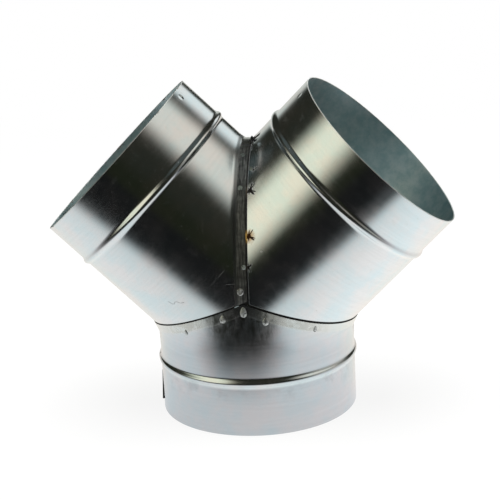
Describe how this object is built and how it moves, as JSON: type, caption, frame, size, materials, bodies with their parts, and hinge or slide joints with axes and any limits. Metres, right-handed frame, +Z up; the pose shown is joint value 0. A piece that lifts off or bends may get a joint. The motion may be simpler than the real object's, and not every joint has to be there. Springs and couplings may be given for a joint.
{
  "type": "duct y branch",
  "caption": "Galvanised sheet metal duct Y branch: a round trunk collar parts into equal round branch collars set at right angles, each with a rolled stop bead.",
  "frame": {"origin": "centre of the trunk collar's lower rim, on the surface it stands on", "axes": "+Z up along the trunk, +X towards the right branch, -Y towards the viewer; both branch axes lie in the XZ plane"},
  "size_m": [0.3068, 0.1534, 0.2519],
  "materials": {
    "galvanised_sheet": "smooth zinc coated sheet, half bright"
  },
  "bodies": {
    "root": {"trunk_collar": "galvanised_sheet", "left_branch": "galvanised_sheet", "right_branch": "galvanised_sheet"}
  },
  "joints": []
}
